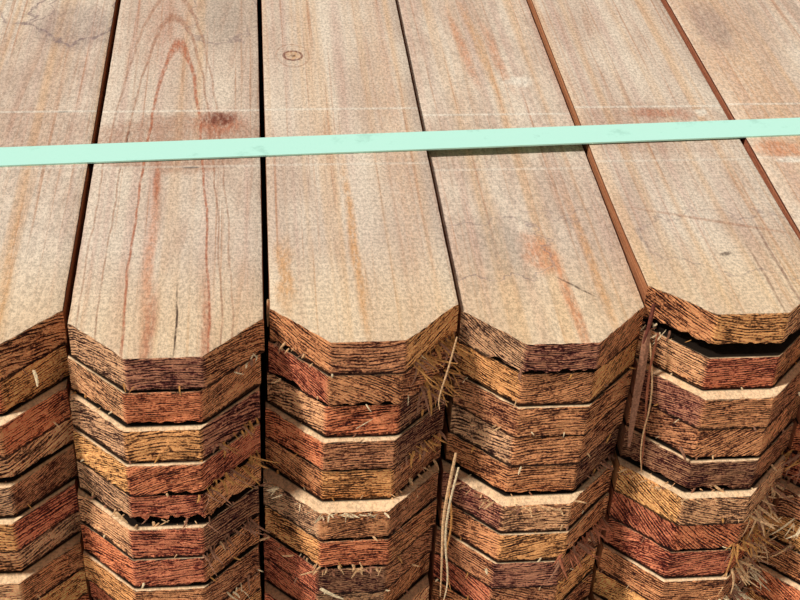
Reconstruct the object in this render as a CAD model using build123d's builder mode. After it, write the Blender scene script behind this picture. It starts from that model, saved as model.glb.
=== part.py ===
from build123d import *
import os
from math import radians, sin

# A strapped bundle of dog-ear fence pickets, lying flat.
# Lengths are millimetres. The dog-ear ends face -Y, +Z is up, and the origin is on the floor
# under the middle of the bundle.

# Picket stock
picket_length = 1828.8
picket_width = 88.9
picket_thickness = 20.0
ear_clip = 27.0

# Bundle
columns = 10
layers = 16
column_gap = 2.3

# Straps
strap_width = 19.0
strap_thickness = 0.9
front_strap_inset = 185.0
rear_strap_inset = 230.0
front_strap_angle = 2.8
rear_strap_angle = -1.2
strap_lap_length = 32.0
strap_lap_height = 150.0

# One picket of the top layer bows upwards in front of the strap
bowed_column = 6
bow_rise = 5.5

# How much higher or lower each column ends than a column of nominal pickets, left to right
column_excess = (-1.5, 0.5, 0.0, 0.4, -4.2, 0.0, 0.8, -2.5, 0.0, -1.0)
thickness_wander = 0.35

# How far each picket's front end stands back from the nominal front, top layer first.
# These are the columns that are seen whole, and the rest follow the same trend.
seen_setbacks = {
    3: (-3.5, -3.5, -7, -9, -8.5, -11, -12, -14),
    4: (3.6, 4.0, 5.8, 2.5, 3.3, -5, -5, -5),
    5: (4.2, 6.2, 4.5, 5.3, 5.8, -1.5, -3, -4),
    6: (10.7, 9.5, 2.5, 3, 1, -4, -3, -3, -5.5),
}
top_setback = 5.0
setback_step = 1.2
deepest_setback = -7.0
setback_wander = 4.0

# How far each picket has slid sideways, top layer first, as a share of the gap between columns.
# A picket stays within 0.9 of a gap of the next column's pickets at about its own height.
seen_slides = {
    3: (1.5, 0.6, 0.2, 0.1, 0.0, -0.6, -0.7, -1.0),
    4: (1.6, 1.2, 0.8, 0.2, 0.1, -0.6, -0.4, -0.9),
    5: (1.2, 1.2, 1.1, 1.0, 0.6, -0.3, -0.2, -1.0),
    6: (0.9, 0.9, 0.8, 0.8, 0.4, -0.2, -0.3, -0.3, -0.8),
}
top_slide = 1.2
slide_step = 0.3
lowest_slide = -0.9
slide_wander = 0.1

column_pitch = picket_width + column_gap
bundle_width = columns * column_pitch - column_gap
front_strap_y = -picket_length / 2 + front_strap_inset
rear_strap_y = picket_length / 2 - rear_strap_inset

os.makedirs("parts", exist_ok=True)


def seen(table, column, depth):
    """The value read for a picket, or None for a picket that is hidden or cut off."""
    row = table.get(column, ())
    return row[depth] if depth < len(row) else None


def setback(column, layer):
    depth = layers - layer
    value = seen(seen_setbacks, column, depth)
    if value is None:
        trend = max(top_setback - setback_step * depth, deepest_setback)
        value = trend + setback_wander * sin(2.3 * layer + 1.9 * column)
    return value


def slide(column, layer):
    depth = layers - layer
    share = seen(seen_slides, column, depth)
    if share is None:
        trend = max(top_slide - slide_step * depth, lowest_slide)
        share = trend + slide_wander * sin(1.7 * layer + 2.9 * column)
    return share * column_gap


def thickness(column, layer):
    excess = column_excess[(column - 1) % len(column_excess)] / layers
    return picket_thickness + excess + thickness_wander * sin(2.7 * layer + 1.3 * column)


def corner_of(column, layer):
    """The middle of a picket in plan, and the height of its lower face above the floor."""
    x = (column - (columns + 1) / 2) * column_pitch + slide(column, layer)
    z = strap_thickness + sum(thickness(column, below) for below in range(1, layer))
    return (x, setback(column, layer), z)


# A picket in plan: a plain rectangle with its two front corners clipped
with BuildSketch() as picket_outline:
    Rectangle(picket_width, picket_length)
    chamfer(picket_outline.vertices().group_by(Axis.Y)[0], ear_clip)


def straight_picket(column, layer):
    with BuildPart() as picket:
        with BuildSketch(Plane(corner_of(column, layer))):
            add(picket_outline.sketch)
        extrude(amount=thickness(column, layer))
    return picket.part


def bowed_picket(column, layer):
    """A picket that lies flat under both straps and curves up in front of them."""
    x, y, bottom = corner_of(column, layer)
    top = bottom + thickness(column, layer)
    front = y - picket_length / 2
    back = y + picket_length / 2
    bow_start = front_strap_y - strap_width
    with BuildPart() as picket:
        with BuildSketch(Plane((x, y, bottom))):
            add(picket_outline.sketch)
        extrude(amount=top + bow_rise - bottom)
        with BuildSketch(Plane.YZ.offset(x - picket_width / 2)):
            with BuildLine():
                under = TangentArc((bow_start, bottom), (front, bottom + bow_rise), tangent=(-1, 0))
                over = TangentArc((bow_start, top), (front, top + bow_rise), tangent=(-1, 0))
                Line(under @ 1, over @ 1)
                Polyline((bow_start, bottom), (back, bottom), (back, top), (bow_start, top))
            make_face()
        extrude(amount=picket_width, mode=Mode.INTERSECT)
    return picket.part


# One node for each layer, a row of pickets that lie side by side with a gap between them
for layer in range(1, layers + 1):
    row = []
    for column in range(1, columns + 1):
        bows = (column, layer) == (bowed_column, layers)
        row.append(bowed_picket(column, layer) if bows else straight_picket(column, layer))
    picket_layer = Compound(label=f"pickets_layer_{layer:02d}", children=row)
    export_step(picket_layer, f"parts/{picket_layer.label}.step")

# The bundle's cross-section, wrapped as tightly as a taut strap wraps it
with BuildSketch(Plane.XZ) as wrapped:
    rims = []
    for column in range(1, columns + 1):
        outermost = column in (1, columns)
        for layer in range(1, layers + 1) if outermost else (1, layers):
            x, _, bottom = corner_of(column, layer)
            height = thickness(column, layer)
            with Locations((x, bottom + height / 2)):
                rims += Rectangle(picket_width, height, mode=Mode.PRIVATE).edges()
    make_hull(rims)

# The strap's own section: one turn round the bundle, and a short lap where its ends are welded.
# Each strap lies a little askew across the pickets.
with BuildSketch(Plane.XZ) as strap_lap:
    add(wrapped.sketch)
    offset(amount=2 * strap_thickness, kind=Kind.INTERSECTION)
    with Locations((bundle_width / 2, strap_lap_height)):
        Rectangle(picket_width, strap_lap_length, mode=Mode.INTERSECT)
with BuildSketch(Plane.XZ) as strap_turn:
    add(wrapped.sketch)
    offset(amount=strap_thickness, kind=Kind.INTERSECTION)
    add(strap_lap.sketch)
    add(wrapped.sketch, mode=Mode.SUBTRACT)

for name, strap_y, angle in (
    ("strap_front", front_strap_y, front_strap_angle),
    ("strap_rear", rear_strap_y, rear_strap_angle),
):
    with BuildPart() as strap:
        with BuildSketch(Plane.XZ.offset(-strap_y)):
            add(strap_turn.sketch)
        extrude(amount=strap_width + bundle_width * sin(radians(abs(angle))), both=True)
        with BuildSketch(Plane((0, strap_y, 0)).rotated((0, 0, angle))):
            Rectangle(2 * bundle_width, strap_width)
        extrude(amount=2 * layers * picket_thickness, both=True, mode=Mode.INTERSECT)
    strap.part.label = name
    export_step(strap.part, f"parts/{name}.step")
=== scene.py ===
import math
from itertools import product

import bmesh
import bpy
import numpy as np
from mathutils import Matrix, Vector


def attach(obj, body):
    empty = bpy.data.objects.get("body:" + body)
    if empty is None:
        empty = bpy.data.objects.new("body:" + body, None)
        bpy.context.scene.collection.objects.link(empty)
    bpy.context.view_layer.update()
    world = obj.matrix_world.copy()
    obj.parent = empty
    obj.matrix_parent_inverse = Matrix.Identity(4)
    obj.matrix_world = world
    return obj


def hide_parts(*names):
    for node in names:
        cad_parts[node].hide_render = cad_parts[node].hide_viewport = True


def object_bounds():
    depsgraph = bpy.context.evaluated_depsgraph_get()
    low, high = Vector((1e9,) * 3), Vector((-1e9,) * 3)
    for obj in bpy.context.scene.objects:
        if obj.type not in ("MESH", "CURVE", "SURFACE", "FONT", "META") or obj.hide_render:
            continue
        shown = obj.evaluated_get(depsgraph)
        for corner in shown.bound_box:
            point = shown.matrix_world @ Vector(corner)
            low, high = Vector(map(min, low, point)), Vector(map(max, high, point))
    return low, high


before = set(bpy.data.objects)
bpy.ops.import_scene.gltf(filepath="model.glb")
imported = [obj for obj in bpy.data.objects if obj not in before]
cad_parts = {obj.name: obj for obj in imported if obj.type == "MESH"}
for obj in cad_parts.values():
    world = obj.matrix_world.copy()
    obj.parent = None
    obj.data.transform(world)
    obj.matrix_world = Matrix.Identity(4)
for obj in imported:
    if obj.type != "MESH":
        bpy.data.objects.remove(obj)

# A strapped bundle of rough-sawn dog-ear fence pickets, in metres, in the frame's own axes.
cad_box = [list(corner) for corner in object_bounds()]

MM = 0.001
layers = 16
nominal_thickness = 20

# The columns and layers whose dog-ear ends are seen from close by
seen_columns = range(2, 9)
seen_layers = range(7, 17)

# How densely a picket is meshed: points across and up its end, and the step along its head
close_detail = (29, 19, 1.3 * MM)
plain_detail = (13, 7, 2.6 * MM)


# Colours

def colour(red, green, blue):
    """A linear colour from screen values of 0 to 255."""
    linear = []
    for value in (red, green, blue):
        share = value / 255
        linear.append(share / 12.92 if share < 0.04045 else ((share + 0.055) / 1.055) ** 2.4)
    return (*linear, 1.0)


wood = {
    "honey": colour(250, 174, 104),
    "golden": colour(234, 155, 92),
    "tan": colour(228, 160, 114),
    "grey_tan": colour(202, 148, 112),
    "brown": colour(206, 126, 82),
    "umber": colour(178, 104, 72),
    "plum": colour(155, 82, 71),
    "rust": colour(218, 110, 72),
    "brick": colour(196, 91, 68),
    "dark": colour(123, 64, 54),
}


# Smooth noise for shapes

# Large odd factors and shifts that scatter the bits of a cell's place and of the seed
place_factors = (73856093, 19349663, 83492791)
seed_factor = 2654435
scatter_steps = ((13, 1274126177), (15, 668265263))


def noise(points, cell, seed):
    """Smooth noise from -1 to 1 at each point, for features about one cell wide."""
    scaled = points / cell
    base = np.floor(scaled).astype(np.int64)
    part = scaled - base
    part = part * part * (3 - 2 * part)
    total = np.zeros(len(points))
    for corner in product((0, 1), repeat=3):
        at = (base + corner) * place_factors
        code = at[:, 0] ^ at[:, 1] ^ at[:, 2] ^ (seed * seed_factor)
        for shift, factor in scatter_steps:
            code = (code ^ (code >> shift)) * factor & 0x7FFFFFFF
        value = (code >> 8 & 0xFFFF) / 32767.5 - 1
        weight = np.prod(np.where(corner, part, 1 - part), axis=1)
        total += weight * value
    return total


def smooth_step(value, low, high):
    share = np.clip((value - low) / (high - low), 0, 1)
    return share * share * (3 - 2 * share)


# Pickets as the frame holds them

class Picket:
    """Where one picket lies, how large it is and how far its front end bows upwards."""

    def __init__(self, corners, column, layer):
        self.column = column
        self.layer = layer
        low = corners.min(axis=0)
        high = corners.max(axis=0)
        back = corners[corners[:, 1] > high[1] - 0.1 * MM]
        front = corners[corners[:, 1] < low[1] + 0.1 * MM]
        self.left, self.front, self.bottom = low[0], low[1], back[:, 2].min()
        self.right, self.back, self.top = high[0], high[1], back[:, 2].max()
        self.clip = front[:, 0].min() - self.left
        self.rise = front[:, 2].min() - self.bottom
        self.middle = (self.left + self.right) / 2
        self.half_flat = (self.right - self.left) / 2 - self.clip
        bedded = corners[np.abs(corners[:, 2] - self.bottom) < 0.01 * MM]
        self.bow_start = bedded[:, 1].min()
        self.random = np.random.default_rng(1000 * layer + column)

    def outline(self, x):
        """Where the dog-ear end stands in y at each x."""
        return self.front + np.maximum(np.abs(x - self.middle) - self.half_flat, 0)

    def lift(self, y):
        """How far the picket stands above its bed at y, along the arc of its bow."""
        if self.rise < 0.01 * MM:
            return np.zeros_like(y)
        share = np.clip((self.bow_start - y) / (self.bow_start - self.front), 0, 1)
        return self.rise * share * share


def pickets_of(layer):
    """The pickets of one layer, left to right, from the separate solids of the layer's node."""
    solids = bmesh.new()
    solids.from_mesh(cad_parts[f"pickets_layer_{layer:02d}"].data)
    bmesh.ops.remove_doubles(solids, verts=solids.verts, dist=0.001 * MM)
    waiting = set(solids.verts)
    found = []
    while waiting:
        front = [waiting.pop()]
        corners = []
        while front:
            vertex = front.pop()
            corners.append(tuple(vertex.co))
            near = {edge.other_vert(vertex) for edge in vertex.link_edges} & waiting
            waiting -= near
            front.extend(near)
        found.append(np.array(corners))
    solids.free()
    found.sort(key=lambda corners: corners[:, 0].min())
    return [Picket(corners, column, layer) for column, corners in enumerate(found, 1)]


# The shape of a rough-sawn picket

# The radius of a rounded arris, and how far its middle stands in from both faces, as a share of it
arris = 0.55 * MM
arris_middle = 0.29


def section_ring(across, up):
    """The (column, row) pairs of the points round a section, in order."""
    ring = [(i, up - 1) for i in range(across)]
    ring += [(across - 1, j) for j in range(up - 2, 0, -1)]
    ring += [(i, 0) for i in range(across - 1, -1, -1)]
    ring += [(0, j) for j in range(1, up - 1)]
    return ring


def spread(low, high, count, index, round_edge):
    """The place of point `index` of `count` between two sides that have rounded edges."""
    inner = low + round_edge + (high - low - 2 * round_edge) * (index - 1) / (count - 3)
    return low if index == 0 else high if index == count - 1 else inner


def section_points(picket, y, inset, across, up, places):
    """Points of the picket's section at y, at the given (column, row) places."""
    ear = max(picket.clip - (y - picket.front), 0)
    left, right = picket.left + ear + inset, picket.right - ear - inset
    bottom, top = picket.bottom + inset, picket.top - inset
    edge = max(arris - inset, 0.3 * arris)
    nip = arris_middle * edge
    points = []
    for i, j in places:
        x = spread(left, right, across, i, edge)
        z = spread(bottom, top, up, j, edge)
        if i in (0, across - 1) and j in (0, up - 1):
            x += nip if i == 0 else -nip
            z += nip if j == 0 else -nip
        points.append((x, y, z))
    return points


def bridge(first, second):
    """Faces between two rings. The second ring has as many points, or half as many steps a side."""
    a, b = len(first), len(second)
    if a == b:
        return [(first[k], first[(k + 1) % a], second[(k + 1) % b], second[k]) for k in range(a)]
    return [
        (first[2 * k], first[2 * k + 1], first[(2 * k + 2) % a], second[(k + 1) % b], second[k])
        for k in range(b)
    ]


def stations_of(picket, fine, step, reach):
    """Distances from the front end at which the picket has a section."""
    head = [0, arris_middle * arris, arris]
    while head[-1] < picket.clip - 1.5 * fine:
        head.append(head[-1] + fine)
    head += [picket.clip, picket.clip + fine, picket.clip + 4 * fine]
    body = [head[-1] + 3 * MM]
    while body[-1] < reach:
        body.append(body[-1] + step)
    length = picket.back - picket.front
    coarse_step, tail = 90 * MM, 5 * MM
    rest = max(int((length - body[-1]) / coarse_step), 2)
    body += list(np.linspace(body[-1], length - tail, rest)[1:])
    body += [length - arris, length - arris_middle * arris, length]
    return head, body


def picket_shape(picket, across, up, fine, step, reach):
    """Vertices and faces of one picket: a dense dog-ear head and a plainer body."""
    head, body = stations_of(picket, fine, step, reach)
    fine_ring = section_ring(across, up)
    plain_across, plain_up = (across + 1) // 2, (up + 1) // 2
    plain_ring = section_ring(plain_across, plain_up)
    points, faces, rings = [], [], []
    length = picket.back - picket.front
    for distance in head + body:
        in_head = distance <= head[-1]
        inset = max(arris - distance, arris - (length - distance), 0)
        if in_head:
            places, size = fine_ring, (across, up)
        else:
            places, size = plain_ring, (plain_across, plain_up)
        rings.append(range(len(points), len(points) + len(places)))
        points += section_points(picket, picket.front + distance, inset, *size, places)
    for near, far in zip(rings, rings[1:]):
        faces += bridge(list(near), list(far))
    for ring, size, y, flip in (
        (rings[0], (across, up), picket.front, True),
        (rings[-1], (plain_across, plain_up), picket.back, False),
    ):
        number = dict(zip(section_ring(*size), ring))
        inner = [(i, j) for i in range(1, size[0] - 1) for j in range(1, size[1] - 1)]
        number.update(zip(inner, range(len(points), len(points) + len(inner))))
        points += section_points(picket, y, arris, *size, inner)
        for i, j in product(range(size[0] - 1), range(size[1] - 1)):
            quad = [number[i, j], number[i + 1, j], number[i + 1, j + 1], number[i, j + 1]]
            faces.append(quad if flip else quad[::-1])
    return np.array(points), faces


# Strips torn from the lower edge of an end: from and to, across the picket, and how deep, in mm
torn_edges = {
    (2, 15): ((5, 70, 2.5),),
    (2, 13): ((10, 85, 3.0),),
    (3, 16): ((28, 62, 2.0),),
    (3, 15): ((4, 62, 2.6),),
    (3, 13): ((40, 85, 3.5),),
    (3, 12): ((20, 64, 8.0), (66, 84, 5.0)),
    (3, 10): ((55, 86, 3.0),),
    (4, 16): ((2, 12, 3.5),),
    (4, 15): ((22, 66, 3.5), (3, 14, 4.5)),
    (4, 13): ((6, 60, 2.2),),
    (4, 11): ((30, 80, 2.5),),
    (4, 10): ((8, 50, 3.0),),
    (5, 16): ((14, 67, 4.8),),
    (5, 14): ((30, 60, 1.6),),
    (5, 12): ((4, 62, 3.0),),
    (5, 10): ((62, 87, 6.0),),
    (6, 16): ((2, 70, 3.2),),
    (6, 13): ((10, 60, 1.8),),
    (6, 12): ((2, 50, 3.4),),
    (6, 10): ((30, 70, 2.2),),
    (7, 15): ((5, 60, 3.0),),
    (7, 13): ((5, 80, 4.0),),
    (7, 11): ((10, 85, 6.0),),
    (7, 10): ((5, 70, 5.0),),
    (8, 13): ((5, 70, 4.0),),
}


def grain_ridges(picket, points, seed):
    """Ridges along the grain of an end, about 1.9 mm apart, from about -1.5 to 1.5."""
    x, y, z = points.T
    usual_tilt = 4
    tilt = math.radians(grain_tilt.get((picket.column, picket.layer), usual_tilt))
    with_grain = x * math.cos(tilt) + z * math.sin(tilt)
    across_grain = z * math.cos(tilt) - x * math.sin(tilt)
    grain = np.stack([with_grain / 7, across_grain / 1.9, y / 12], axis=1)
    return noise(grain, MM, seed) + 0.5 * noise(grain * 2, MM, seed + 1)


def roughen(picket, points, ragged):
    """Saw-cut unevenness: a chipped lower edge round the dog-ear end, and nicked arrises elsewhere."""
    x, y, z = points.T
    ahead = y - picket.front
    ear = np.maximum(picket.clip - ahead, 0)
    half = (picket.right - picket.left) / 2 - ear
    beside = half - np.abs(x - picket.middle)
    side = np.sign(x - picket.middle)
    seed = 31 * picket.layer + 7 * picket.column
    moved = points.copy()

    # An ear is cut at 45 degrees, so its face is nearer than the distance sideways to it
    slant, far = 0.7, 9
    from_end = np.minimum(np.where(ear > 0, beside * slant, far), ahead)

    # The end faces are a little wavy, always inwards
    slow_wave, quick_wave, ridge_height = 0.35 * MM, 0.25 * MM, 0.75 * MM
    on_end = np.exp(-np.maximum(from_end, 0) / (1.0 * MM)) * (ahead < picket.clip + 2 * MM)
    wave = slow_wave * (1 + noise(points, 7 * MM, seed)) / 2
    wave += quick_wave * (1 + noise(points, 1.8 * MM, seed + 1)) / 2
    wave += ridge_height * np.clip(0.5 + 0.5 * grain_ridges(picket, points, seed + 8), 0, 1.2)
    moved[:, 1] += on_end * wave
    moved[:, 0] -= on_end * wave * side * (ear > 0) * 0.8

    # The long arrises are nicked, always inwards
    near_edge = np.exp(-np.maximum(np.minimum(z - picket.bottom, picket.top - z), 0) / (1.2 * MM))
    nick = 0.30 * MM * np.maximum(noise(points * (1, 0.25, 1), 2.2 * MM, seed + 2), 0)
    nick += 0.25 * MM * (1 + noise(points * (1, 0.1, 0), 9 * MM, seed + 3)) / 2
    on_side = np.exp(-np.maximum(beside, 0) / (0.5 * MM))
    moved[:, 0] -= on_side * side * nick * (0.4 + 0.6 * near_edge) * (ear == 0)

    # The saw tears chips from the lower edge of the end, and here and there a long deep strip
    plan = points * (1, 1, 0)
    tear = noise(plan, 3.2 * MM, seed + 4) + 0.6 * noise(plan, 1.3 * MM, seed + 5)
    lift = on_end * ragged * MM * np.clip(tear - 0.05, 0, 1.2)
    inside = smooth_step(from_end, 16 * MM, 11 * MM) * (ahead < picket.clip)
    for first, last, depth in torn_edges.get((picket.column, picket.layer), ()):
        place = (x - picket.left) / MM
        within = smooth_step(place, first - 3, first + 2) * smooth_step(place, last + 3, last - 2)
        jagged = 0.75 + 0.35 * noise(plan, 2.6 * MM, seed + 6)
        lift = np.maximum(lift, inside * within * depth * MM * jagged)
    left_over = np.clip((picket.top - z) / (picket.top - picket.bottom), 0, 1)
    moved[:, 2] += lift * left_over ** 2
    high = np.exp(-(picket.top - z) / (0.8 * MM))
    moved[:, 2] -= on_end * high * 0.35 * ragged * MM * np.clip(tear - 0.05, 0, 1.2)
    moved[:, 2] += picket.lift(moved[:, 1])
    return moved


def add_wood(name, points, faces, attributes, material):
    """A piece of wood whose points carry values under the attributes' names."""
    kinds = {1: ("FLOAT", "value"), 3: ("FLOAT_VECTOR", "vector"), 4: ("FLOAT_COLOR", "color")}
    mesh = bpy.data.meshes.new(name)
    mesh.from_pydata(points, [], faces)
    for attribute, values in attributes.items():
        values = np.array(values, dtype=np.float32)
        kind, field = kinds[values.size // len(points)]
        mesh.attributes.new(attribute, kind, "POINT").data.foreach_set(field, values.ravel())
    mesh.materials.append(material)
    piece = bpy.data.objects.new(name, mesh)
    bpy.context.scene.collection.objects.link(piece)
    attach(piece, "root")
    return piece


def values_at(picket, above, shape):
    """What the wood's material needs to know at each point of a picket that lies under another."""
    character = character_of(picket)
    straight = shape.copy()
    straight[:, 2] -= picket.lift(shape[:, 1])
    everywhere = np.ones(len(shape))

    # The cover is how far a point lies behind the end of the picket above, in mm; the wood's material paints
    # shade where it is covered
    uncovered = -99.0
    return {
        "tone": tones_along(picket, shape, character),
        "local": (straight - (picket.left, picket.front, picket.bottom)) / MM,
        "rings": rings_at(picket, straight, character),
        "seed": everywhere * picket.random.random(),
        "board": everywhere * picket.column,
        "cover": (shape[:, 1] - above.outline(shape[:, 0])) / MM if above else everywhere * uncovered,
    }


def add_layer(layer):
    """One object for a layer of sawn pickets, which replaces the layer's node."""
    top = layer == layers
    row = pickets_of(layer)
    row_above = [None] * len(row) if top else pickets_of(layer + 1)
    points, faces, values = [], [], []
    count = 0
    for picket, above in zip(row, row_above):
        close = picket.column in seen_columns and layer in seen_layers
        detail = close_detail if close else plain_detail
        step = 8 * MM if top else 60 * MM
        reach = 420 * MM if top and close else 80 * MM
        shape, polygons = picket_shape(picket, *detail, step, reach)
        ragged = 1.0 + 2.2 * picket.random.random() ** 2
        shape = roughen(picket, shape, ragged)
        points.append(shape)
        faces += [[count + index for index in polygon] for polygon in polygons]
        count += len(shape)
        values.append(values_at(picket, above, shape))
    attributes = {name: np.concatenate([each[name] for each in values]) for name in values[0]}
    material = picket_wood_top if top else picket_wood
    points = np.concatenate(points).tolist()
    piece = add_wood(f"pickets_layer_{layer:02d}_sawn", points, faces, attributes, material)
    piece.data.shade_smooth()
    piece.data.set_sharp_from_angle(angle=math.radians(50))
    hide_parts(f"pickets_layer_{layer:02d}")


# The character of each picket: the tones of its end, left to right, and the run of its rings

# The left ears run to lighter tones and the right ears to darker ones: partly the wood's colour, partly
# painted light and shade, as the sun comes from the left
end_tones = {
    (3, 16): ("grey_tan", "plum", "brown"),
    (3, 15): ("tan", "rust", "brown"),
    (3, 14): ("grey_tan", "golden", "plum"),
    (3, 13): ("honey", "rust", "brick"),
    (3, 12): ("grey_tan", "brick", "brown"),
    (3, 11): ("tan", "brick", "dark"),
    (3, 10): ("rust", "brick", "brown"),
    (3, 9): ("golden", "brown", "umber"),
    (4, 16): ("brown", "umber", "golden"),
    (4, 15): ("brick", "brown", "umber"),
    (4, 14): ("tan", "rust", "dark"),
    (4, 13): ("rust", "umber", "dark"),
    (4, 12): ("brown", "golden", "umber"),
    (4, 11): ("grey_tan", "brown", "umber"),
    (4, 10): ("golden", "rust", "brown"),
    (4, 9): ("brick", "dark", "umber"),
    (5, 16): ("grey_tan", "plum", "brown"),
    (5, 15): ("golden", "brown", "golden"),
    (5, 14): ("umber", "brown", "brown"),
    (5, 13): ("grey_tan", "brown", "umber"),
    (5, 12): ("brown", "brown", "dark"),
    (5, 11): ("plum", "tan", "brown"),
    (5, 10): ("brown", "golden", "brown"),
    (5, 9): ("umber", "plum", "umber"),
    (6, 16): ("brown", "golden", "tan"),
    (6, 15): ("tan", "brick", "brown"),
    (6, 14): ("plum", "brown", "umber"),
    (6, 13): ("umber", "brown", "brown"),
    (6, 12): ("dark", "dark", "umber"),
    (6, 11): ("honey", "tan", "tan"),
    (6, 10): ("brick", "rust", "brown"),
    (6, 9): ("brick", "brick", "rust"),
    (6, 8): ("brown", "brown", "umber"),
}

# How steeply the growth rings rise to the right across an end, in degrees
grain_tilt = {
    (3, 16): 1, (3, 15): 3, (3, 14): 4, (3, 13): 22, (3, 12): 5,
    (4, 16): 2, (4, 15): -28, (4, 14): 6, (4, 13): 3, (4, 11): 10, (4, 10): 4,
    (5, 16): 1, (5, 15): 14, (5, 14): 4, (5, 13): 8, (5, 12): 3, (5, 9): 4,
    (6, 16): -6, (6, 15): 5, (6, 14): 4, (6, 13): 34, (6, 12): 2, (6, 11): -16, (6, 10): -42, (6, 9): 12,
}


def character_of(picket):
    """Tones, ring spacing and where the pith lay, by chance unless they are named above."""
    random = picket.random
    names = [name for name in wood if name != "dark"]
    tones = end_tones.get((picket.column, picket.layer))
    if tones is None:
        tones = tuple(names[index] for index in random.integers(0, len(names), 3))
    chance_tilt = np.clip(random.normal(0, 11), -40, 40)
    tilt = math.radians(grain_tilt.get((picket.column, picket.layer), chance_tilt))
    reach = random.uniform(60, 260)
    nearest = 26
    side = random.choice((-1, 1))
    pith_x = -side * reach * math.sin(tilt)
    pith_z = side * max(reach * math.cos(tilt), nearest)
    return {
        "tones": np.array([wood[name] for name in tones]),
        "pith": (pith_x, pith_z),
        "spacing": random.uniform(1.2, 2.1),
        "lean": (random.uniform(-0.03, 0.03), random.uniform(-0.02, 0.02)),
    }


def tones_along(picket, shape, character):
    """The tone at each point: the three named tones meet at the corners of the dog-ear end."""
    beyond = (np.abs(shape[:, 0] - picket.middle) - picket.half_flat) / MM
    share = smooth_step(beyond, -1.0, 1.5)[:, None]
    left, centre, right = character["tones"]
    ear = np.where((shape[:, 0] < picket.middle)[:, None], left, right)
    return centre * (1 - share) + ear * share


def rings_at(picket, shape, character):
    """Each point's distance from the pith, sideways and upwards, in ring widths."""
    half_height = (picket.bottom + picket.top) / 2
    pith, lean = character["pith"], character["lean"]
    along = (shape[:, 1] - picket.front) / MM
    side = (shape[:, 0] - picket.middle) / MM - pith[0] + lean[0] * along
    up = (shape[:, 2] - half_height) / MM - pith[1] + lean[1] * along
    return np.stack([side, up, along * 0], axis=1) / character["spacing"]


# Shader formulas

class Value:
    """A socket that formulas can use: each operator adds a Math node to the tree."""

    def __init__(self, tree, socket):
        self.tree = tree
        self.socket = socket

    def math(self, operation, *others):
        node = self.tree.nodes.new("ShaderNodeMath")
        node.operation = operation
        for index, other in enumerate((self, *others)):
            feed(self.tree, node.inputs[index], other)
        return Value(self.tree, node.outputs[0])

    def __add__(self, other):
        return self.math("ADD", other)

    def __sub__(self, other):
        return self.math("SUBTRACT", other)

    def __mul__(self, other):
        return self.math("MULTIPLY", other)

    def abs(self):
        return self.math("ABSOLUTE")

    def fraction(self):
        return self.math("FRACT")

    def ramp(self, low, high, to_low=0.0, to_high=1.0):
        """A smooth rise from to_low at low to to_high at high, which may lie in either order."""
        node = self.tree.nodes.new("ShaderNodeMapRange")
        node.interpolation_type = "SMOOTHSTEP"
        if low > high:
            low, high, to_low, to_high = high, low, to_high, to_low
        for name, value in (("Value", self), ("From Min", low), ("From Max", high)):
            feed(self.tree, node.inputs[name], value)
        feed(self.tree, node.inputs["To Min"], to_low)
        feed(self.tree, node.inputs["To Max"], to_high)
        return Value(self.tree, node.outputs["Result"])


def feed(tree, socket, value):
    if isinstance(value, Value):
        tree.links.new(value.socket, socket)
    else:
        socket.default_value = value


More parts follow.
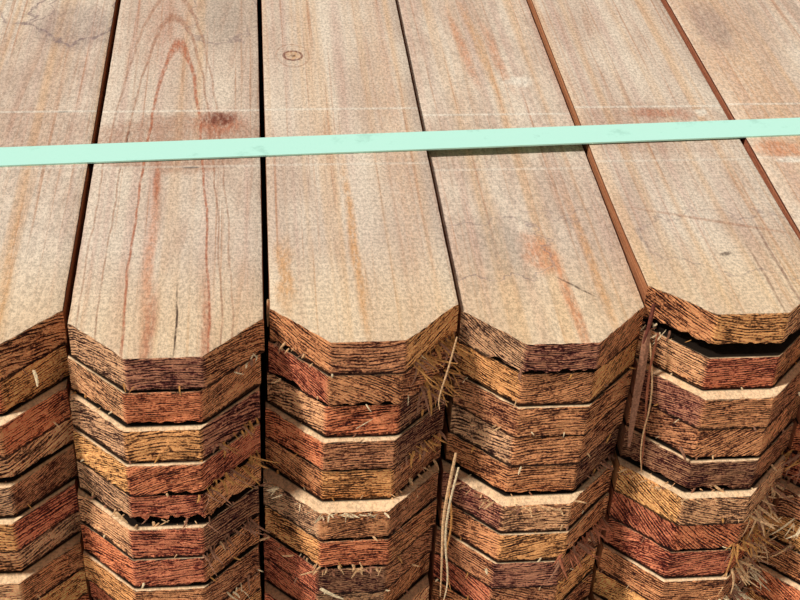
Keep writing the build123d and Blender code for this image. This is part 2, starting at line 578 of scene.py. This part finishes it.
class Shader:
    """Short names for the nodes that the materials below are made of."""

    def __init__(self, name):
        self.material = bpy.data.materials.new(name)
        self.material.use_nodes = True
        self.tree = self.material.node_tree
        self.surface = self.tree.nodes["Principled BSDF"]

    def node(self, kind, output=0, settings=(), **inputs):
        node = self.tree.nodes.new(kind)
        for name, value in dict(settings).items():
            setattr(node, name, value)
        for name, value in inputs.items():
            feed(self.tree, node.inputs[name.replace("_", " ")], value)
        return Value(self.tree, node.outputs[output])

    def attribute(self, name, output):
        return self.node("ShaderNodeAttribute", output, {"attribute_name": name})

    def split(self, vector):
        node = self.tree.nodes.new("ShaderNodeSeparateXYZ")
        feed(self.tree, node.inputs[0], vector)
        return [Value(self.tree, output) for output in node.outputs]

    def join(self, x, y, z):
        return self.node("ShaderNodeCombineXYZ", X=x, Y=y, Z=z)

    def vector(self, operation, first, second):
        node = self.tree.nodes.new("ShaderNodeVectorMath")
        node.operation = operation
        feed(self.tree, node.inputs[0], first)
        feed(self.tree, node.inputs[1], second)
        return Value(self.tree, node.outputs[0])

    def scaled(self, vector, x, y, z):
        return self.vector("MULTIPLY", vector, (x, y, z))

    def sum(self, first, second):
        return self.vector("ADD", first, second)

    def noise(self, vector, scale=1.0, detail=2.0, roughness=0.5):
        inputs = {"Vector": vector, "Scale": scale, "Detail": detail, "Roughness": roughness}
        return self.node("ShaderNodeTexNoise", **inputs)

    def shifted(self, vector, wander, x, y):
        """A place moved to and fro by a noise's colour, by up to about half of x and y."""
        return self.sum(vector, self.scaled(self.sum(wander, (-0.5, -0.5, -0.5)), x, y, 0))

    def mix(self, share, first, second, blend="MIX"):
        node = self.tree.nodes.new("ShaderNodeMix")
        node.data_type = "RGBA"
        node.blend_type = blend
        feed(self.tree, node.inputs["Factor"], share)
        feed(self.tree, node.inputs[6], first)
        feed(self.tree, node.inputs[7], second)
        return Value(self.tree, node.outputs[2])

    def value_mix(self, share, first, second):
        """The same for plain values: the first where share is 0, the second where it is 1."""
        return first + (second - first) * share

    def scale_colour(self, value, factor):
        """A colour made darker or lighter by a factor."""
        return self.mix(1.0, value, self.join(factor, factor, factor), "MULTIPLY")

    def finish(self, base, roughness, height, depth, specular=0.5):
        """The finished material, with bumps as deep as depth where height is 1."""
        self.surface.inputs["Specular IOR Level"].default_value = specular
        feed(self.tree, self.surface.inputs["Base Color"], base)
        feed(self.tree, self.surface.inputs["Roughness"], roughness)
        bump = self.tree.nodes.new("ShaderNodeBump")
        bump.inputs["Strength"].default_value = 1.0
        bump.inputs["Distance"].default_value = depth
        feed(self.tree, bump.inputs["Height"], height)
        self.tree.links.new(bump.outputs[0], self.surface.inputs["Normal"])
        return self.material


def wood_place(s):
    """A point's place in its own board, in mm, shifted so that no two boards share a pattern."""
    seed = s.attribute("seed", "Fac")
    return s.sum(s.attribute("local", "Vector"), s.join(seed * 1730, seed * 3110, seed * 970))


def place_y(s, place):
    return s.split(place)[1]


def growth_rings(s, place):
    """How dark each ring is at a point, fibres that run along the rings, and finer fibres."""
    across, up, _ = s.split(s.attribute("rings", "Vector"))
    radius = (across * across + up * up).math("SQRT")
    run = s.scaled(place, 1, 0.04, 1)
    radius = radius + s.noise(run, 0.035, 1.0) * 1.6 + s.noise(run, 0.22, 1.0) * 0.5
    arc = across.math("ARCTAN2", up.abs()) * radius
    ring = radius.math("FLOOR")
    phase = radius.fraction()
    strength = s.noise(s.join(ring * 3.7, arc * 0.10, 0.0), 1.0, 2.0).ramp(0.38, 0.60, 0.15, 1.0)
    late = phase.ramp(0.45, 0.88) * phase.ramp(1.0, 0.93) * strength
    along = place_y(s, place) * 0.05
    fibre = s.noise(s.join(radius * 1.7, arc * 0.20, along), 1.0, 3.0, 0.65)
    fine = s.noise(s.join(radius * 3.1, arc * 0.40, along), 1.0, 2.0, 0.6)
    return late, fibre, fine


stain = {
    "smoke": colour(150, 128, 122),
    "grey": colour(172, 156, 140),
    "blood": colour(116, 62, 48),
    "brown": colour(168, 116, 88),
    "amber": colour(214, 150, 84),
    "orange": colour(212, 132, 84),
    "rust": colour(182, 108, 76),
    "peach": colour(226, 180, 138),
    "white": colour(244, 232, 212),
    "ink": colour(58, 34, 28),
}

# Marks on the top boards: column, place from the board's left and front, half width and half length,
# turn in degrees, softness, strength and stain. All lengths are mm.
top_marks = (
    (2, 66, 322, 24, 32, 0, 0.3, 0.45, "smoke"),
    (2, 44, 186, 50, 32, 0, 0.10, 0.25, "brown"),
    (2, 70, 213, 4, 0.9, 0, 0.4, 0.90, "ink"),
    (2, 60, 60, 2, 70, 1, 0.8, 0.40, "amber"),
    (3, 44, 187, 50, 31, 0, 0.12, 0.55, "brown"),
    (3, 68, 345, 15, 42, 0, 0.6, 0.60, "grey"),
    (3, 30, 330, 12, 60, 0, 0.8, 0.35, "rust"),
    (3, 66, 208, 13, 13, 0, 0.6, 0.75, "rust"),
    (3, 66, 214, 9, 5, 0, 0.5, 0.90, "blood"),
    (3, 16, 195, 0.6, 7, 0, 0.5, 0.90, "ink"),
    (3, 52, 161, 4.5, 0.9, 0, 0.4, 0.90, "ink"),
    (3, 34, 146, 1.6, 18, 2, 0.6, 0.80, "rust"),
    (3, 35, 75, 2.4, 62, 0, 0.7, 0.50, "orange"),
    (3, 37, 20, 2.6, 30, -3, 0.7, 0.65, "rust"),
    (3, 62, 22, 2.0, 34, 1, 0.7, 0.65, "rust"),
    (3, 48.5, 25, 0.5, 27, 0, 0.5, 0.90, "ink"),
    (4, 18, 283, 5, 5.5, 0, 0.3, 0.55, "amber"),
    (4, 18, 283, 1.6, 1.4, 0, 0.4, 0.85, "ink"),
    (4, 43, 82, 2.2, 78, 1, 0.7, 0.70, "amber"),
    (4, 8, 52, 3.6, 26, 0, 0.7, 0.65, "amber"),
    (4, 72, 200, 7, 150, 0, 0.8, 0.35, "peach"),
    (5, 36, 300, 2.9, 50, 4, 0.7, 0.55, "orange"),
    (5, 46, 310, 2.6, 60, 3, 0.7, 0.50, "amber"),
    (5, 56, 290, 2.8, 40, 4, 0.7, 0.50, "orange"),
    (5, 65, 255, 8, 5, 20, 0.6, 0.80, "white"),
    (5, 28, 80, 11, 24, 0, 0.5, 0.45, "grey"),
    (5, 46, 73, 8, 16, 10, 0.5, 0.65, "orange"),
    (5, 54, 28, 2.6, 38, 2, 0.6, 0.70, "orange"),
    (5, 70, 60, 2.2, 60, 1, 0.7, 0.55, "amber"),
    (5, 58, 45, 11, 0.7, -46, 0.5, 0.85, "ink"),
    (6, 44, 184, 50, 30, 0, 0.12, 0.25, "brown"),
    (6, 50, 200, 17, 6, 0, 0.5, 0.60, "rust"),
    (6, 73, 201, 4, 3, 30, 0.4, 0.80, "white"),
    (6, 50, 85, 42, 1.3, -20, 0.6, 0.55, "brown"),
    (6, 47, 54, 3.4, 1.6, 20, 0.4, 0.75, "ink"),
    (6, 70, 40, 0.8, 45, 0, 0.5, 0.60, "blood"),
    (6, 60, 30, 0.7, 34, 0, 0.5, 0.55, "blood"),
    (7, 18, 260, 24, 160, 0, 0.8, 0.55, "peach"),
    (7, 21, 319, 12, 34, 0, 0.5, 0.55, "smoke"),
    (7, 16, 163, 12, 9, 0, 0.5, 0.70, "orange"),
    (7, 18, 151, 8, 2.6, 0, 0.4, 0.85, "white"),
)
# Wavy rims that dried stains left, and arches of grain: the same, but with the rim's width for softness
top_rims = (
    (2, 64, 340, 28, 40, 0, 0.06, 0.85, "smoke"),
    (2, 30, 365, 22, 40, 0, 0.06, 0.70, "smoke"),
    (3, 68, 350, 22, 44, 0, 0.06, 0.60, "smoke"),
    (3, 45, 0, 19, 306, 1, 0.045, 0.85, "rust"),
    (3, 42, 0, 28, 345, 1, 0.025, 0.65, "brown"),
    (3, 40, 0, 35, 380, 1, 0.020, 0.55, "brown"),
    (4, 18, 283, 5.5, 6, 0, 0.22, 0.90, "blood"),
    (4, 18, 283, 10, 15, 0, 0.08, 0.45, "brown"),
    (5, 22, 80, 30, 28, 0, 0.04, 0.60, "smoke"),
    (5, 60, 150, 28, 44, 0, 0.03, 0.40, "smoke"),
    (6, 60, 62, 52, 30, -8, 0.04, 0.45, "smoke"),
)

# The boards lie this far apart in the place that their marks are found by
column_stride = 200

# Where a bearer once pressed pale lines across the boards: place along Y in mm, and strength
imprint_lines = ((-695, 0.6), (-756, 0.35))


def marked(s, base):
    """The wide face's colour with the marks of every column laid over it."""
    x, y, _ = s.split(s.attribute("local", "Vector"))
    board = s.attribute("board", "Fac")
    flat = s.join(x + board * column_stride, y, 0.0)
    wobble = s.node("ShaderNodeTexNoise", 1, Vector=s.scaled(flat, 1, 0.6, 1), Scale=0.12, Detail=4.0)
    ragged = s.shifted(flat, wobble, 12, 16)
    drift = s.node("ShaderNodeTexNoise", 1, Vector=flat, Scale=0.02, Detail=2.0)
    threadlike = s.shifted(flat, drift, 5, 0)
    swell = s.node("ShaderNodeTexNoise", 1, Vector=flat, Scale=0.06, Detail=3.0)
    wavy = s.shifted(flat, swell, 30, 44)
    broken = s.noise(s.scaled(flat, 1, 0.25, 1), 0.5, 3.0, 0.7).ramp(0.30, 0.60, 0.35, 1.0)
    thread_width = 3
    for marks, outlined in ((top_marks, False), (top_rims, True)):
        for column, across, along, half_width, half_length, turn, soft, strength, name in marks:
            thin = min(half_width, half_length) < thread_width
            if outlined:
                start = wavy if name == "smoke" else threadlike
            else:
                start = threadlike if thin else ragged
            placed = s.node(
                "ShaderNodeMapping", 0, {"vector_type": "TEXTURE"},
                Vector=start,
                Location=(across + column * column_stride, along, 0),
                Rotation=(0, 0, math.radians(turn)),
                Scale=(half_width, half_length, 1),
            )
            reach = s.node("ShaderNodeVectorMath", "Value", {"operation": "LENGTH"}, Vector=placed)
            if outlined:
                share = (reach - 1).abs().ramp(soft, soft * 0.3)
            else:
                share = reach.ramp(1 + soft, 1 - soft)
            base = s.mix(share * broken * strength, base, stain[name])
    world_y = s.split(s.node("ShaderNodeTexCoord", "Object"))[1]
    for line, strength in imprint_lines:
        near = (world_y - line * MM).abs().ramp(1.8 * MM, 0.4 * MM)
        base = s.mix(near * broken * strength, base, stain["white"])
    return base


def end_grain(s, place, tone, rings, grit, height_in_board):
    """Dark latewood, fibres, fine pits and broad patches, with painted shade at the lower edge and a painted
    highlight at the upper.
    """
    late, fibre, fine = rings
    patch = s.noise(place, 0.07, 2.0, 0.6)
    # The grain's pattern sets the colour and also stands in for the light on the sawn relief: its dark end
    # is partly painted shade in the hollows, its golden glow partly a painted highlight on the ridges
    light = fibre * 1.5 + fine * 1.8 + grit * 1.3 + patch * 1.1 - late * 0.75
    shade = s.mix(0.55, s.scale_colour(tone, 0.10), colour(60, 21, 25))
    glow = s.mix(0.40, s.scale_colour(tone, 2.6), colour(255, 206, 140))
    end = s.mix(light.ramp(2.34, 2.80), shade, tone)
    end = s.mix(light.ramp(2.62, 3.00), end, glow)
    # Painted shade, near black, along the ragged lower edge of each end
    edge = s.noise(s.scaled(place, 0.5, 0.5, 0.2), 1.0, 2.0) * 3.8
    end = s.mix((height_in_board - edge).ramp(0.5, -0.6) * 0.92, end, colour(36, 16, 13))
    # A painted highlight along the upper edge of each end
    top_highlight = (height_in_board + edge * 0.5).ramp(nominal_thickness + 0.2, nominal_thickness + 1.2)
    return s.mix(top_highlight * 0.5, end, colour(238, 196, 150))


def side_grain(s, place, tone, grit, height_in_board):
    """Reddish sides, streaked along the board, with painted shade along the arrises where the boards meet.
    """
    streak = s.noise(s.scaled(place, 1, 0.03, 1), 0.9, 3.0)
    side = s.mix(streak.ramp(0.3, 0.7), colour(134, 88, 62), colour(186, 138, 98))
    side = s.scale_colour(side, grit.ramp(0.30, 0.70, 0.75, 1.2))
    side = s.mix(0.35, side, tone)
    # Painted shade along the upper and lower arrises, where the boards of a column meet
    from_face = height_in_board.math("MINIMUM", height_in_board * -1 + nominal_thickness)
    return s.mix(from_face.ramp(1.3, 0.3) * 0.8, side, colour(46, 24, 18))


def wide_face(s, place, late, from_front, weathered):
    """Pale faces with soft streaks, faint rings and a warm front, stained where they are weathered."""
    broad = s.noise(s.scaled(place, 1, 0.3, 1), 0.03, 3.0, 0.6)
    wide = s.mix(broad.ramp(0.3, 0.7), colour(232, 213, 190), colour(208, 182, 160))
    bands = s.noise(s.scaled(place, 1, 0.012, 1), 0.11, 2.0)
    wide = s.mix(bands.ramp(0.50, 0.70) * 0.6, wide, colour(222, 180, 138))
    wide = s.mix(bands.ramp(0.46, 0.30) * 0.5, wide, colour(208, 172, 154))
    threads = s.noise(s.scaled(place, 1, 0.010, 1), 0.40, 3.0, 0.65)
    wide = s.mix(threads.ramp(0.56, 0.72) * 0.55, wide, colour(184, 124, 86))
    wide = s.mix(late * broad.ramp(0.35, 0.60) * 0.26, wide, colour(176, 118, 84))
    wide = s.mix(from_front.ramp(95, 15) * 0.40, wide, colour(242, 204, 150))
    if weathered:
        return marked(s, wide)
    return s.mix(0.55, s.scale_colour(wide, 1.22), colour(255, 212, 160))


def wood_material(name, weathered):
    """Solid sawn wood, with growth rings that run through the board."""
    s = Shader(name)
    place = wood_place(s)
    tone = s.attribute("tone", "Color")
    late, fibre, fine = growth_rings(s, place)
    grit = s.noise(place, 0.85, 2.0, 0.6)
    _, from_front, height_in_board = s.split(s.attribute("local", "Vector"))
    end = end_grain(s, place, tone, (late, fibre, fine), grit, height_in_board)
    side = side_grain(s, place, tone, grit, height_in_board)

    # The wide faces have a sandy sawn fuzz and faint saw marks, and painted shade, near black, where a board
    # above covers them
    wide = wide_face(s, place, late, from_front, weathered)
    fuzz = s.noise(s.scaled(place, 1, 0.6, 1), 0.65, 3.0, 0.8)
    wide = s.scale_colour(wide, fuzz.ramp(0.32, 0.66, 0.71, 1.19))
    saw = (place_y(s, place) * 0.42 + fuzz * 0.8).fraction().math("PINGPONG", 0.5)
    wide = s.scale_colour(wide, saw.ramp(0.0, 0.5, 0.96, 1.02))
    if not weathered:
        # Painted shade, near black, on the part of a wide face that the board above covers
        shaded_under_board = s.attribute("cover", "Fac").ramp(-0.7, 1.0)
        wide = s.mix(shaded_under_board * 0.99, wide, colour(16, 9, 7))

    # Which face a point is on
    normal = s.split(s.node("ShaderNodeNewGeometry", "True Normal"))
    on_end = normal[1].abs().ramp(0.30, 0.62)
    on_wide = normal[2].abs().ramp(0.55, 0.85)
    base = s.mix(on_wide, side, wide)
    base = s.mix(on_end, base, end)
    relief = fibre * 0.7 + fine * 0.6 + grit * 0.6 - late * 0.45
    height = s.value_mix(on_end, fuzz * 0.12 + saw * 0.04, relief)
    return s.finish(base, 0.84, height, 5.0 * MM, specular=0.08)


picket_wood = wood_material("picket_wood", False)
picket_wood_top = wood_material("picket_wood_top", True)


def strap_material():
    s = Shader("strap_plastic")
    place = s.node("ShaderNodeTexCoord", "Object")
    smudge = s.noise(place, 60, 4.0, 0.7)
    base = s.mix(smudge.ramp(0.58, 0.72) * 0.4, colour(192, 244, 224), colour(148, 198, 178))
    rough = smudge.ramp(0.3, 0.7, 0.30, 0.48)
    return s.finish(base, rough, smudge, 0.1 * MM)


strap_plastic = strap_material()
for strap in ("strap_front", "strap_rear"):
    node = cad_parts[strap]
    node.data.materials.clear()
    node.data.materials.append(strap_plastic)

for layer in range(1, layers + 1):
    add_layer(layer)


# Splinters and fibres: column, layer, from and to across the picket, how many, length in mm and stain.
# Each hangs from the lower edge of a dog-ear end, or stands at its upper edge if the length is negative.
frayed_edges = (
    (3, 16, 66, 88, 9, 6, "white"),
    (3, 14, 60, 88, 30, 9, "amber"),
    (3, 13, 62, 88, 46, 14, "amber"),
    (3, 12, 8, 64, 26, 8, "peach"),
    (3, 11, 60, 88, 30, 12, "brown"),
    (3, 9, 60, 88, 16, 10, "white"),
    (4, 16, 64, 88, 60, 15, "amber"),
    (4, 15, 70, 88, 44, 18, "amber"),
    (4, 16, 2, 22, 14, 5, "peach"),
    (4, 13, 66, 88, 24, 10, "amber"),
    (4, 11, 1, 60, 70, -6, "white"),
    (4, 12, 60, 88, 26, 8, "peach"),
    (4, 10, 20, 60, 18, 6, "peach"),
    (4, 9, 2, 60, 30, -8, "peach"),
    (5, 11, 6, 66, 60, -6, "peach"),
    (5, 10, 58, 88, 60, 14, "rust"),
    (5, 12, 66, 88, 20, 9, "brown"),
    (6, 16, 1, 12, 12, 7, "white"),
    (6, 12, 2, 50, 16, 6, "peach"),
    (6, 11, 1, 50, 30, -5, "peach"),
    (6, 11, 66, 88, 50, 16, "peach"),
    (6, 10, 60, 88, 60, 18, "amber"),
    (6, 9, 60, 88, 60, 20, "peach"),
    (6, 8, 50, 88, 50, 20, "white"),
    (7, 12, 1, 30, 40, 16, "amber"),
    (7, 11, 1, 40, 50, 18, "peach"),
    (7, 10, 1, 50, 50, 18, "white"),
    (7, 9, 1, 60, 50, 18, "peach"),
)

# Single splinters, as width and stain, then points on their way in mm in the frame's own axes
long_splinters = (
    (1.8, "white", (-197, -902.5, 297), (-197.5, -903.5, 292), (-198, -904, 288)),
    (1.8, "white", (-188, -895, 305), (-188.5, -896, 301), (-189, -897, 297)),
    (1.4, "white", (-183, -890, 313), (-184, -891, 309), (-184, -892, 305)),
    (1.6, "white", (-284, -905, 306), (-283, -906, 302), (-283, -907, 298)),
    (1.6, "peach", (-177.9, -876, 321), (-178.2, -876, 314), (-178.3, -876, 305)),
    (1.6, "peach", (-88, -905, 246), (-91, -910, 228), (-93, -912, 207), (-92, -913, 181), (-91, -912, 149)),
    (1.2, "white", (-86, -905, 236), (-90, -909, 214), (-91, -910, 190), (-87, -911, 160), (-89, -910, 140)),
    (1.0, "amber", (-90, -905, 222), (-87, -908, 200), (-90, -909, 176), (-85, -909, 149)),
    (0.9, "peach", (-92, -904, 318), (-95, -905, 300), (-99, -906, 282), (-98, -907, 276)),
    (4.2, "brown", (1.5, -893, 310), (1.4, -895, 288), (1.2, -896, 262), (1.6, -897, 238)),
    (1.2, "rust", (8, -890, 306), (6, -893, 281), (9, -895, 248), (11, -896, 220)),
    (0.9, "peach", (5, -890, 300), (10, -895, 270), (7, -897, 240), (12, -898, 214)),
    (2.2, "blood", (4, -888, 322), (2, -893, 314), (-1, -897, 305)),
    (1.6, "brown", (22, -912.5, 252), (24, -913, 248), (26, -913.5, 243)),
    (2.0, "peach", (-252, -925, 234), (-250, -925.5, 231), (-247, -925.5, 227)),
    (1.6, "white", (-111, -897, 250), (-110, -898, 245), (-112, -899, 240)),
    (1.8, "peach", (-111, -899, 228), (-108, -902, 221), (-105, -903, 214)),
    (2.2, "white", (-155, -924, 173), (-150, -924.5, 169), (-143, -924, 164)),
    (1.4, "white", (-70, -920, 178), (-69, -920.5, 174)),
    (0.5, "white", (-138, -911.5, 270), (-134, -911.5, 273), (-130, -911.5, 276)),
)

# No splinter reaches further forward than this
front_limit = cad_box[0][1] + 0.2 * MM

# The share of each frayed edge's fibres that is made, and how many of those have the edge's own stain
fray_density = 0.7
own_stain = 0.7

# What every seen end has besides: from and to across the picket, how many fibres, and their length
plain_fray = (2, 87, 5, 5)
plain_stains = ("white", "peach", "amber", "brown")
plain_width = 0.8

# Fresh splinters are warmer than the scuffs on the weathered faces
fibre_tones = {**stain, "white": colour(255, 226, 180), "peach": colour(240, 190, 138)}


def sliver(path, width, flatness, points, faces):
    """Adds a tapered splinter with a diamond section that follows a path."""
    count = len(path)
    start = len(points)
    ahead = np.gradient(path, axis=0)
    ahead /= np.linalg.norm(ahead, axis=1)[:, None] + 1e-9
    side = np.cross(ahead, (0, 1, 0))
    side /= np.linalg.norm(side, axis=1)[:, None] + 1e-9
    out = np.cross(side, ahead)
    for k in range(count):
        swell = width / 2 * (0.25 + 0.75 * math.sin(math.pi * min(0.25 + 0.75 * k / (count - 1), 0.97)))
        for across, forward in ((1, 0), (0, flatness), (-1, 0), (0, -flatness)):
            points.append(path[k] + side[k] * swell * across + out[k] * swell * forward)
    for k in range(count - 1):
        for j in range(4):
            a = start + 4 * k
            faces.append((a + j, a + (j + 1) % 4, a + 4 + (j + 1) % 4, a + 4 + j))
    faces.append((start + 3, start + 2, start + 1, start))
    last = start + 4 * (count - 1)
    faces.append((last, last + 1, last + 2, last + 3))


def fray(picket, first, last, how_many, length, random):
    """Short curled fibres at the lower or upper edge of a dog-ear end."""
    paths = []
    for _ in range(math.ceil(how_many * fray_density)):
        x = picket.left + random.uniform(first, last) * MM
        ear = max(abs(x - picket.middle) - picket.half_flat, 0)
        sign = math.copysign(1, x - picket.middle) if ear > 0 else 0
        edge = picket.bottom + random.uniform(0, 5) * MM
        if length < 0:
            edge = picket.top - random.uniform(0, 2) * MM
        root = np.array((x, picket.front + ear + 0.8 * MM, edge))
        size = abs(length) * MM * random.uniform(0.35, 1.1)
        lean = random.normal(0, 0.5)
        down = -random.uniform(0.4, 1.0) if length > 0 else random.uniform(-0.3, 0.25)
        heading = np.array((lean + 0.5 * sign, -0.22 - 0.1 * random.random(), down))
        heading /= np.linalg.norm(heading)
        bend = np.array((random.normal(0, 0.18), 0.12, random.normal(-0.05, 0.15)))
        steps = np.linspace(0, 1, 5)[:, None]
        path = root + size * (steps * heading + steps ** 2 * bend)
        path[:, 1] = np.clip(path[:, 1], front_limit, None)
        paths.append((path, random.uniform(0.5, 1.7) * MM))
    return paths


def smooth_path(corners):
    """A curve through the given points, from straight steps rounded twice."""
    path = np.array(corners, dtype=float) * MM
    for _ in range(2):
        near = 0.75 * path[:-1] + 0.25 * path[1:]
        far = 0.25 * path[:-1] + 0.75 * path[1:]
        inner = np.stack([near, far], axis=1).reshape(-1, 3)
        path = np.concatenate([path[:1], inner, path[-1:]])
    path[:, 1] = np.clip(path[:, 1], front_limit, None)
    return path


def splinter_material():
    s = Shader("picket_wood_splinter")
    place = s.node("ShaderNodeTexCoord", "Object")
    grain = s.noise(place, 900, 2.0)
    tone = s.attribute("tone", "Color")
    base = s.scale_colour(tone, grain.ramp(0.3, 0.7, 0.6, 1.15))
    return s.finish(base, 0.8, grain, 0.3 * MM, specular=0.15)


def add_splinters():
    """All splinters as one piece: those of the frayed edges, a few on every seen end, and the long ones."""
    random = np.random.default_rng(77)
    rows = {layer: pickets_of(layer) for layer in seen_layers}
    points, faces, tones = [], [], []
    flatness = 0.35

    def place(path, width, tone):
        before = len(points)
        sliver(path, width, flatness, points, faces)
        tones.extend([tone] * (len(points) - before))

    for column, layer, first, last, how_many, length, name in frayed_edges:
        for path, width in fray(rows[layer][column - 1], first, last, how_many, length, random):
            place(path, width, fibre_tones[name if random.random() < own_stain else "brown"])
    for picket in sum(rows.values(), []):
        if picket.column in seen_columns:
            for path, width in fray(picket, *plain_fray, random):
                name = plain_stains[random.integers(0, len(plain_stains))]
                place(path, width * plain_width, fibre_tones[name])
    for width, name, *corners in long_splinters:
        place(smooth_path(corners), width * MM, fibre_tones[name])
    points = [tuple(point) for point in points]
    add_wood("pickets_splinters", points, faces, {"tone": tones}, splinter_material())


add_splinters()


# Floor, light and camera

def add_floor():
    size = 30
    mesh = bpy.data.meshes.new("floor")
    corners = [(x * size, y * size, 0) for x, y in ((-1, -1), (1, -1), (1, 1), (-1, 1))]
    mesh.from_pydata(corners, [], [(0, 1, 2, 3)])
    s = Shader("floor_pale")
    cloud = s.noise(s.node("ShaderNodeTexCoord", "Object"), 3, 3.0)
    base = s.mix(cloud, colour(226, 226, 224), colour(232, 232, 230))
    mesh.materials.append(s.finish(base, 0.9, cloud, 0.0))
    floor = bpy.data.objects.new("floor", mesh)
    bpy.context.scene.collection.objects.link(floor)


def add_light():
    sun_from = Vector((-0.56, -0.16, 0.81))
    sun = bpy.data.lights.new("sun", "SUN")
    sun.energy = 3.4
    sun.angle = math.radians(6.0)
    sun.color = (1.0, 0.98, 0.95)
    lamp = bpy.data.objects.new("sun", sun)
    lamp.rotation_euler = sun_from.to_track_quat("Z", "Y").to_euler()
    bpy.context.scene.collection.objects.link(lamp)

    # The sky lights the object softly, and looks pale itself behind the floor's edge
    ambient, backdrop = 0.19, 0.82
    world = bpy.data.worlds.new("studio")
    world.use_nodes = True
    tree = world.node_tree
    background = tree.nodes["Background"]
    background.inputs["Color"].default_value = (1.0, 0.98, 0.95, 1.0)
    rays = tree.nodes.new("ShaderNodeLightPath").outputs
    looked_at = Value(tree, rays["Is Camera Ray"])
    for name in ("Is Glossy Ray", "Is Transmission Ray"):
        looked_at = looked_at.math("MAXIMUM", Value(tree, rays[name]))
    feed(tree, background.inputs["Strength"], looked_at * (backdrop - ambient) + ambient)
    bpy.context.scene.world = world


def add_camera():
    camera = bpy.data.cameras.new("camera")
    camera.sensor_width = 36
    camera.lens = 61.68
    camera.clip_start = 0.01
    eye = bpy.data.objects.new("camera", camera)
    yaw, pitch, roll = math.radians(6.940), math.radians(36.839), math.radians(2.816)
    turn = Matrix.Rotation(-yaw, 4, "Z")
    turn = turn @ Matrix.Rotation(math.pi / 2 - pitch, 4, "X")
    turn = turn @ Matrix.Rotation(roll, 4, "Z")
    eye.matrix_world = Matrix.Translation((-0.17863, -1.39212, 0.70836)) @ turn
    bpy.context.scene.collection.objects.link(eye)
    bpy.context.scene.camera = eye


add_floor()
add_light()
add_camera()
bpy.context.scene.view_settings.view_transform = "Standard"

bpy.context.view_layer.update()
